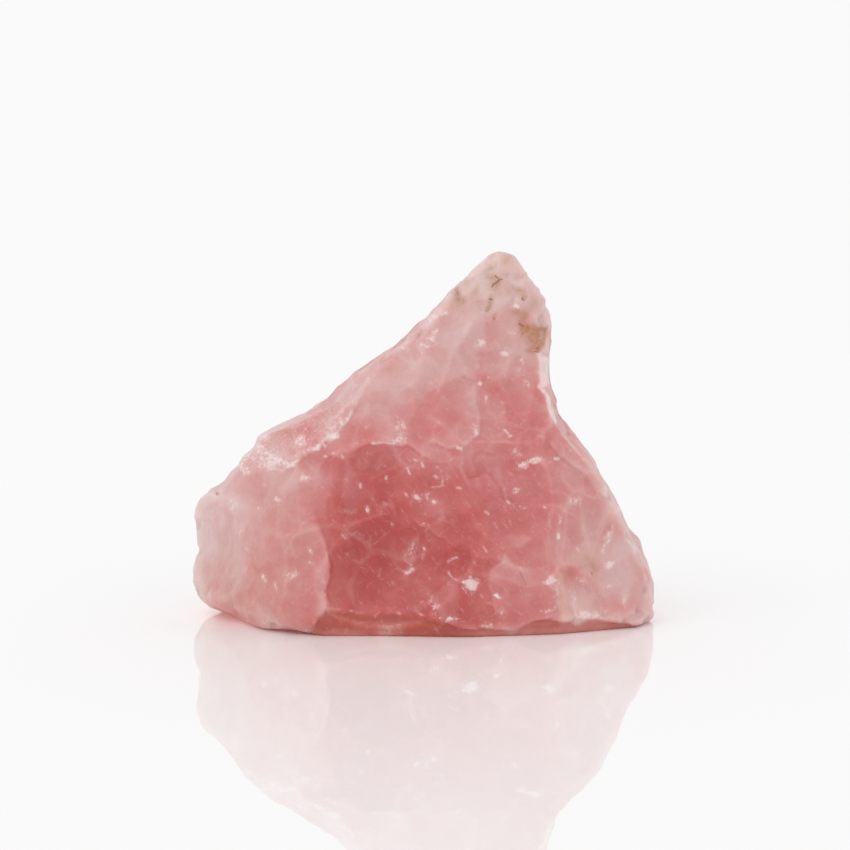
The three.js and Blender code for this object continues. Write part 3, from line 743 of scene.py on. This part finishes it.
# A noise of 0..1 with its detail, its roughness and how much it warps itself.
def noiseNode(tree, vector, perMm, detail=3.0, roughness=0.55, warp=0.0):
    return addNode(tree, "ShaderNodeTexNoise", {"Vector": vector, "Scale": perMm, "Detail": detail,
                   "Roughness": roughness, "Distortion": warp})


# The first colour at a share of 0, the second at 1, and a mix of them between.
def mixColour(tree, share, first, second):
    mixed = addNode(tree, "ShaderNodeMix", data_type="RGBA")
    for socket, value in ((mixed.inputs[0], share), (mixed.inputs[6], first), (mixed.inputs[7], second)):
        if isinstance(value, bpy.types.NodeSocket):
            tree.links.new(value, socket)
        else:
            socket.default_value = value
    return mixed.outputs[2]


quartzLook = {
    "stops": [  # colour from the palest to the deepest rose
        (0.00, (0.715, 0.535, 0.515)), (0.30, (0.675, 0.37, 0.355)), (0.55, (0.625, 0.205, 0.196)),
        (0.80, (0.555, 0.108, 0.100)), (1.00, (0.49, 0.064, 0.058)),
    ],
    "mottlePerMm": 0.45, "mottle": 0.12,  # how uneven the rose is at large
    "grainPerMm": 1.5, "grain": 0.08,  # and in its fine grain
    "cream": (0.74, 0.51, 0.42, 1), "creamShare": 0.8,
    # white of the veils and frost, also laid on as painted glints and highlights
    "veilAndHighlight": (0.86, 0.70, 0.68, 1),
    # rust-brown of the stains, which also lays painted shade on the hollow foot and low at the left
    "stainAndShade": (0.44, 0.19, 0.085, 1), "stainGrain": 1.4, "stainLevel": 0.3,
    "crack": (0.27, 0.09, 0.04, 1), "crackJag": (0.3, 0, 0.3), "crackShown": (0.3, 0.8),
    # how white each layer is
    "white": {"veilAndHighlightHaze": 0.2, "veilsAndHighlights": 0.55, "frostHaze": 0.12, "frost": 0.66, "wisps": 0.3,
              "streaks": 0.35, "fibres": 0.48, "paleRidgeHighlights": 0.1, "hairs": 0.16, "glintFlecks": 0.18},
    # the values of its noise between which each layer comes out, and the gaps that fibres leave in frost
    "shown": {"veilsAndHighlights": (0.35, 0.95), "frost": (0.3, 0.8), "wisps": (0.58, 0.85),
              "streaks": (0.56, 0.8), "fibres": (0.48, 0.68), "gaps": (0.56, 0.4)},
    "risingTurn": (0, -0.66, 0), "fallingTurn": (0.2, 1.0, 0.1),  # ways that fibres and streaks run
    "streakLengths": (4.5, 1.1, 1.0),
    "featherLengths": (1.4, 0.6, 0.5),
    "fibreLengths": (2.4, 0.6, 0.6),
    "fraying": 0.8, "frostFray": 2.2, "frostPerMm": 1.3, "parting": 0.8,
    "hairs": (0.14, 0.008, 0.55),  # how many to a mm, how thin, and how rare
    # painted glints: small white flecks, how many to a mm and how long
    "flecksPerMm": 0.55, "fleckLength": 2.6,
    "fleckTurns": ((0.3, 0.75, 0.2), (0.2, -0.5, 0.9), (1.1, 0.2, -0.6)),
    "shake": 1.6,  # how unevenly the flecks are strewn, in mm
    "scatter": (1.0, 0.8, 0.77), "scatterReach": 0.0035, "scatterShare": 0.85,
    "index": 1.54,
    "roughness": 0.36, "roughMottle": 0.3, "roughWhite": 0.08,  # the last two are how much it varies
    "bumpPerMm": 1.1, "bump": 0.3, "bumpStrength": 0.5,
}


# Places measured along turned axes, along each of them in its own length.
def stretched(tree, vector, turn, lengths):
    return addNode(tree, "ShaderNodeMapping", {"Vector": vector, "Rotation": turn, "Scale": lengths},
                   vector_type="TEXTURE").outputs[0]


# Small long flecks of painted glint, standing for highlights of tiny facets: in each cell of a grid
# stretched along one direction there may be one, out to 0.9 times the cell's own random number less 0.62
# from its middle, so most cells have none.
def glintFlecks(tree, vector, turn, perMm, length):
    turned = stretched(tree, vector, turn, (length / perMm, 1 / perMm, 1 / perMm))
    cells = addNode(tree, "ShaderNodeTexVoronoi", {"Vector": turned, "Scale": 1.0})
    chance = addNode(tree, "ShaderNodeSeparateColor", {"Color": cells.outputs["Color"]}).outputs[0]
    reach = reckon(tree, "MULTIPLY_ADD", chance, 0.9, -0.62)
    return between(tree, reckon(tree, "SUBTRACT", reach, cells.outputs["Distance"]), 0.0, 0.25)


# Thin lines: where a noise crosses its middle value, and only where another noise is high.
def hairs(tree, vector, perMm, thin, shownAt):
    noise = noiseNode(tree, vector, perMm, 1).outputs[0]
    across = reckon(tree, "ABSOLUTE", reckon(tree, "SUBTRACT", noise, 0.5))
    shown = between(tree, noiseNode(tree, vector, perMm * 4, 2).outputs[0], shownAt, shownAt + 0.1)
    return reckon(tree, "MULTIPLY", between(tree, across, thin, 0.0), shown)


# Sums, products, lengths and the like of vectors.
def vectorMath(tree, operation, first, second=(0, 0, 0), output=0, **more):
    made = addNode(tree, "ShaderNodeVectorMath", {0: first, 1: second, **more}, operation=operation)
    return made.outputs[output]


# Places pushed about by a noise's three colours, by an amount along each axis.
def shakenBy(tree, noise, amounts, vector):
    pushed = {0: noise.outputs["Color"], 1: amounts, 2: vector}
    return addNode(tree, "ShaderNodeVectorMath", pushed, operation="MULTIPLY_ADD").outputs[0]


# 1 on a line through X and Z points and 0 beyond its width: the distance to each of its parts is that
# to the nearest place between their ends.
def thinLine(tree, flat, line, wide):
    nearest = None
    for (ax, az), (bx, bz) in zip(line[:-1], line[1:]):
        way = (bx - ax, 0, bz - az)
        off = vectorMath(tree, "SUBTRACT", flat, (ax, 0, az))
        dot = vectorMath(tree, "DOT_PRODUCT", off, way, output="Value")
        along = reckon(tree, "DIVIDE", dot, way[0] ** 2 + way[2] ** 2, clamp=True)
        reached = vectorMath(tree, "SCALE", way, Scale=along)
        gap = vectorMath(tree, "DISTANCE", off, reached, output="Value")
        nearest = gap if nearest is None else reckon(tree, "MINIMUM", nearest, gap)
    return between(tree, nearest, wide, 0.3 * wide)


# The rose colour: the painted depth with two noises on it, looked up in a row of colours.
def roseColour(tree, depth, mottle, fine, look):
    rose = reckon(tree, "MULTIPLY_ADD", reckon(tree, "SUBTRACT", mottle, 0.5), look["mottle"], depth)
    rose = reckon(tree, "MULTIPLY_ADD", reckon(tree, "SUBTRACT", fine, 0.5), look["grain"], rose, clamp=True)
    ramp = addNode(tree, "ShaderNodeValToRGB", {"Fac": rose})
    stops = ramp.color_ramp.elements
    while len(stops) < len(look["stops"]):
        stops.new(0.5)
    for stop, (at, colour) in zip(stops, look["stops"]):
        stop.position = at
        stop.color = (*colour, 1)
    return ramp.outputs["Color"]


# How white each place is: the painted veils with their painted glints and highlights and the painted frost,
# both frayed by noise, and wisps, streaks, fibres, pale ridges that are partly painted highlight, hairs and
# flecks of painted glint, all added up. Fibres part the frost of a fibrous break.
def whiteness(tree, inMm, shaken, mark, look):
    shown = look["shown"]
    rising = stretched(tree, inMm, look["risingTurn"], look["streakLengths"])
    wisps = noiseNode(tree, rising, 1.0, 5, 0.65, 0.5).outputs[0]
    falling = stretched(tree, inMm, look["fallingTurn"], look["streakLengths"])
    streaks = noiseNode(tree, falling, 1.6, 5, 0.7, 0.3).outputs[0]
    strands = stretched(tree, inMm, look["fallingTurn"], look["fibreLengths"])
    combed = noiseNode(tree, strands, 1.0, 5, 0.7).outputs[0]
    feathered = stretched(tree, inMm, look["fallingTurn"], look["featherLengths"])
    frayed = noiseNode(tree, feathered, 1.0, 4, 0.65).outputs[0]
    ragged = reckon(tree, "MULTIPLY_ADD", frayed, look["fraying"], -look["fraying"] / 2)
    drawn = between(tree, reckon(tree, "ADD", mark["veilAndHighlight"], ragged), *shown["veilsAndHighlights"])
    ice = noiseNode(tree, inMm, look["frostPerMm"], 5, 0.7).outputs[0]
    rough = reckon(tree, "MULTIPLY_ADD", ice, look["frostFray"], -look["frostFray"] / 2)
    frosted = between(tree, reckon(tree, "ADD", mark["frost"], rough), *shown["frost"])
    fibres = reckon(tree, "MULTIPLY", between(tree, combed, *shown["fibres"]), mark["fibre"])
    gaps = reckon(tree, "MULTIPLY", between(tree, combed, *shown["gaps"]), mark["fibre"])
    parting = reckon(tree, "MULTIPLY_ADD", gaps, -look["parting"], 1.0)
    layers = [
        (mark["veilAndHighlight"], "veilAndHighlightHaze"), (drawn, "veilsAndHighlights"),
        (mark["frost"], "frostHaze"), (reckon(tree, "MULTIPLY", frosted, parting), "frost"),
        (between(tree, wisps, *shown["wisps"]), "wisps"),
        (between(tree, streaks, *shown["streaks"]), "streaks"),
        (fibres, "fibres"), (mark["paleRidgeHighlight"], "paleRidgeHighlights"),
        (hairs(tree, inMm, *look["hairs"]), "hairs"),
    ]
    # flecks of painted glint, in three directions
    for turn in look["fleckTurns"]:
        layers.append((glintFlecks(tree, shaken, turn, look["flecksPerMm"], look["fleckLength"]), "glintFlecks"))
    white = 0.0
    for layer, name in layers:
        white = reckon(tree, "MULTIPLY_ADD", layer, look["white"][name], white)
    return reckon(tree, "MULTIPLY", white, 1.0, clamp=True)


# The thin cracks: the strongest of the crack lines, jagged by the grain, where the paint lets them show.
def cracksAt(tree, inMm, grains, mark, look):
    flat = vectorMath(tree, "MULTIPLY", shakenBy(tree, grains, look["crackJag"], inMm), (1, 0, 1))
    cracks = 0.0
    for line, wide, much in crackLines:
        drawn = reckon(tree, "MULTIPLY", thinLine(tree, flat, line, wide), much)
        cracks = reckon(tree, "MAXIMUM", cracks, drawn)
    return reckon(tree, "MULTIPLY", cracks, between(tree, mark["crack"], *look["crackShown"]))


# Milky rose quartz: the rose, with painted light and shade in it, then cream, white with painted glints and
# highlights in it, rust-brown with painted shade in it, and cracks laid over it in turn, over a body that
# light goes into. The whiter, rustier, more shaded or more cracked a place is, the less light goes in there,
# and the whiter it is, the less it shines.
def roseQuartz(look):
    paint = bpy.data.materials.new("roseQuartz")
    paint.use_nodes = True
    tree = paint.node_tree
    body = tree.nodes["Principled BSDF"]
    place = addNode(tree, "ShaderNodeTexCoord").outputs["Object"]
    inMm = addNode(tree, "ShaderNodeMapping", {"Vector": place, "Scale": (1 / mm,) * 3}).outputs[0]
    mark = {name: addNode(tree, "ShaderNodeAttribute", attribute_name=name).outputs["Fac"]
            for name in ("rose", "veilAndHighlight", "stainAndShade", "crack", "frost", "cream", "fibre", "paleRidgeHighlight")}
    grains = noiseNode(tree, inMm, look["grainPerMm"], 3, 0.6)
    fine = grains.outputs[0]
    mottle = noiseNode(tree, inMm, look["mottlePerMm"], 3).outputs[0]
    shaken = shakenBy(tree, grains, (look["shake"],) * 3, inMm)

    white = whiteness(tree, inMm, shaken, mark, look)
    grainy = reckon(tree, "MULTIPLY_ADD", fine, look["stainGrain"], look["stainLevel"])
    # the rust-brown mark also carries painted shade
    rustAndShade = reckon(tree, "MULTIPLY", mark["stainAndShade"], grainy, clamp=True)
    cracks = cracksAt(tree, inMm, grains, mark, look)
    colour = roseColour(tree, mark["rose"], mottle, fine, look)
    creamy = reckon(tree, "MULTIPLY", mark["cream"], look["creamShare"])
    # the white also lays painted glints and highlights, and the rust-brown also lays painted shade
    for share, name in ((creamy, "cream"), (white, "veilAndHighlight"), (rustAndShade, "stainAndShade"), (cracks, "crack")):
        colour = mixColour(tree, share, colour, look[name])
    tree.links.new(colour, body.inputs["Base Color"])

    shown = reckon(tree, "MAXIMUM", white, reckon(tree, "MAXIMUM", rustAndShade, cracks))
    depth = reckon(tree, "MULTIPLY_ADD", shown, -look["scatterShare"], look["scatterShare"], clamp=True)
    tree.links.new(depth, body.inputs["Subsurface Weight"])
    mattLow = look["roughness"] - look["roughMottle"] / 2
    matt = reckon(tree, "MULTIPLY_ADD", mottle, look["roughMottle"], mattLow)
    matt = reckon(tree, "MULTIPLY_ADD", white, look["roughWhite"], matt)
    tree.links.new(matt, body.inputs["Roughness"])
    grain = noiseNode(tree, inMm, look["bumpPerMm"], 4, 0.6).outputs[0]
    bump = addNode(tree, "ShaderNodeBump", {"Height": grain, "Distance": look["bump"] * mm,
                                            "Strength": look["bumpStrength"]})
    tree.links.new(bump.outputs["Normal"], body.inputs["Normal"])
    body.inputs["IOR"].default_value = look["index"]
    body.inputs["Subsurface Radius"].default_value = look["scatter"]
    body.inputs["Subsurface Scale"].default_value = look["scatterReach"]
    return paint


shell.data.materials.append(roseQuartz(quartzLook))
print("rose quartz mixed")

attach(shell, "root")
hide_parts("rose_quartz_chunk")


studio = {
    "floorHalf": 30.0,  # metres
    "floorGap": 0.00002,
    "floorWhite": (0.985, 0.98, 0.98, 1),
    "floorIndex": 1.5,  # how strongly the floor mirrors what lies low over it
    "glow": (1.0, 0.4, 0.34, 1), "glowStrength": 0.28,
    "glowHalf": (0.04, 0.02),  # the glow's half width and depth in metres
    "glowEdge": (1.2, 0.7),  # where it is gone and where it is full, in half widths
    "skyLight": 0.86,
    "skySeen": (0.953, 0.953, 0.953, 1),
    "lens": 85,
    "distance": 0.3475,  # metres
    "elevation": 5,  # degrees
    "aimRight": 0.35 * mm, "aimUp": 1.45 * mm,
}


# A glow in the floor, for the light that has gone through the stone: an oval that fades to its edge.
def stoneGlow(tree, form):
    place = addNode(tree, "ShaderNodeTexCoord").outputs["Object"]
    scale = (1 / form["glowHalf"][0], 1 / form["glowHalf"][1], 0)
    oval = addNode(tree, "ShaderNodeMapping", {"Vector": place, "Scale": scale}).outputs[0]
    near = between(tree, vectorMath(tree, "LENGTH", oval, output="Value"), *form["glowEdge"])
    strength = reckon(tree, "MULTIPLY", near, form["glowStrength"])
    return addNode(tree, "ShaderNodeEmission", {"Color": form["glow"], "Strength": strength}).outputs[0]


# A wide plain floor just under the stone: matt and faintly mirroring, with the stone's glow in it.
def floorPiece(form):
    half = form["floorHalf"] / mm
    drop = -form["floorGap"] / mm
    corners = np.array([[-half, -half, drop], [half, -half, drop], [half, half, drop], [-half, half, drop]])
    floor = meshObject("floor", corners, np.array([[0, 1, 2, 3]]))
    paint = bpy.data.materials.new("paleFloor")
    paint.use_nodes = True
    tree = paint.node_tree
    tree.nodes.clear()
    matt = addNode(tree, "ShaderNodeBsdfDiffuse", {"Color": form["floorWhite"]}).outputs[0]
    lit = addNode(tree, "ShaderNodeAddShader", {0: matt, 1: stoneGlow(tree, form)}).outputs[0]
    shine = addNode(tree, "ShaderNodeBsdfGlossy", {"Color": (1, 1, 1, 1), "Roughness": 0.0}).outputs[0]
    share = addNode(tree, "ShaderNodeFresnel", {"IOR": form["floorIndex"]}).outputs[0]
    both = addNode(tree, "ShaderNodeMixShader", {0: share, 1: lit, 2: shine}).outputs[0]
    addNode(tree, "ShaderNodeOutputMaterial", {"Surface": both})
    floor.data.materials.append(paint)


# The white room: one strength lights the stone, and another is what the camera and mirrors see.
def whiteRoom(form):
    world = bpy.data.worlds.new("whiteRoom")
    world.use_nodes = True
    tree = world.node_tree
    lit = tree.nodes["Background"]
    lit.inputs["Color"].default_value = (1, 1, 1, 1)
    lit.inputs["Strength"].default_value = form["skyLight"]
    seen = addNode(tree, "ShaderNodeBackground", {"Color": form["skySeen"]}).outputs[0]
    ray = addNode(tree, "ShaderNodeLightPath")
    mirrored = reckon(tree, "MAXIMUM", ray.outputs["Is Camera Ray"], ray.outputs["Is Glossy Ray"])
    pick = addNode(tree, "ShaderNodeMixShader", {0: mirrored, 1: lit.outputs[0], 2: seen}).outputs[0]
    tree.links.new(pick, tree.nodes["World Output"].inputs["Surface"])
    bpy.context.scene.world = world


# Where each soft light comes from, seen from the stone, how wide it is in degrees, its strength.
softLights = {
    "key": {"from": (-0.6, -0.5, 0.9), "wide": 50, "strength": 0.45},
    "fill": {"from": (0.9, -0.6, 0.3), "wide": 70, "strength": 0.10},
}


# A light with no distance to it, as wide as a big soft box, so that the floor is lit evenly.
def softLight(name, way, wide, strength):
    light = bpy.data.lights.new(name, "SUN")
    light.angle = math.radians(wide)
    light.energy = strength
    lamp = bpy.data.objects.new(name, light)
    lamp.rotation_euler = (-way).to_track_quat("-Z", "Y").to_euler()
    bpy.context.scene.collection.objects.link(lamp)


# The camera stands in front, a little above the floor, and looks at a point near the box's middle.
def camera(form, aim):
    lens = bpy.data.cameras.new("camera")
    lens.lens = form["lens"]
    lens.clip_start = 0.01
    stand = bpy.data.objects.new("camera", lens)
    rise = math.radians(form["elevation"])
    back = Vector((0, -math.cos(rise), math.sin(rise)))
    stand.location = aim + back * form["distance"]
    stand.rotation_euler = (-back).to_track_quat("-Z", "Y").to_euler()
    bpy.context.scene.collection.objects.link(stand)
    bpy.context.scene.camera = stand


low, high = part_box("rose_quartz_chunk")
middle = (low + high) / 2
floorPiece(studio)
whiteRoom(studio)
for lightName, lightForm in softLights.items():
    softLight(lightName, Vector(lightForm["from"]), lightForm["wide"], lightForm["strength"])
aimPoint = middle.copy()
aimPoint.x += studio["aimRight"]
aimPoint.z += studio["aimUp"]
camera(studio, aimPoint)
bpy.context.scene.view_settings.view_transform = "Standard"
print("studio ready")
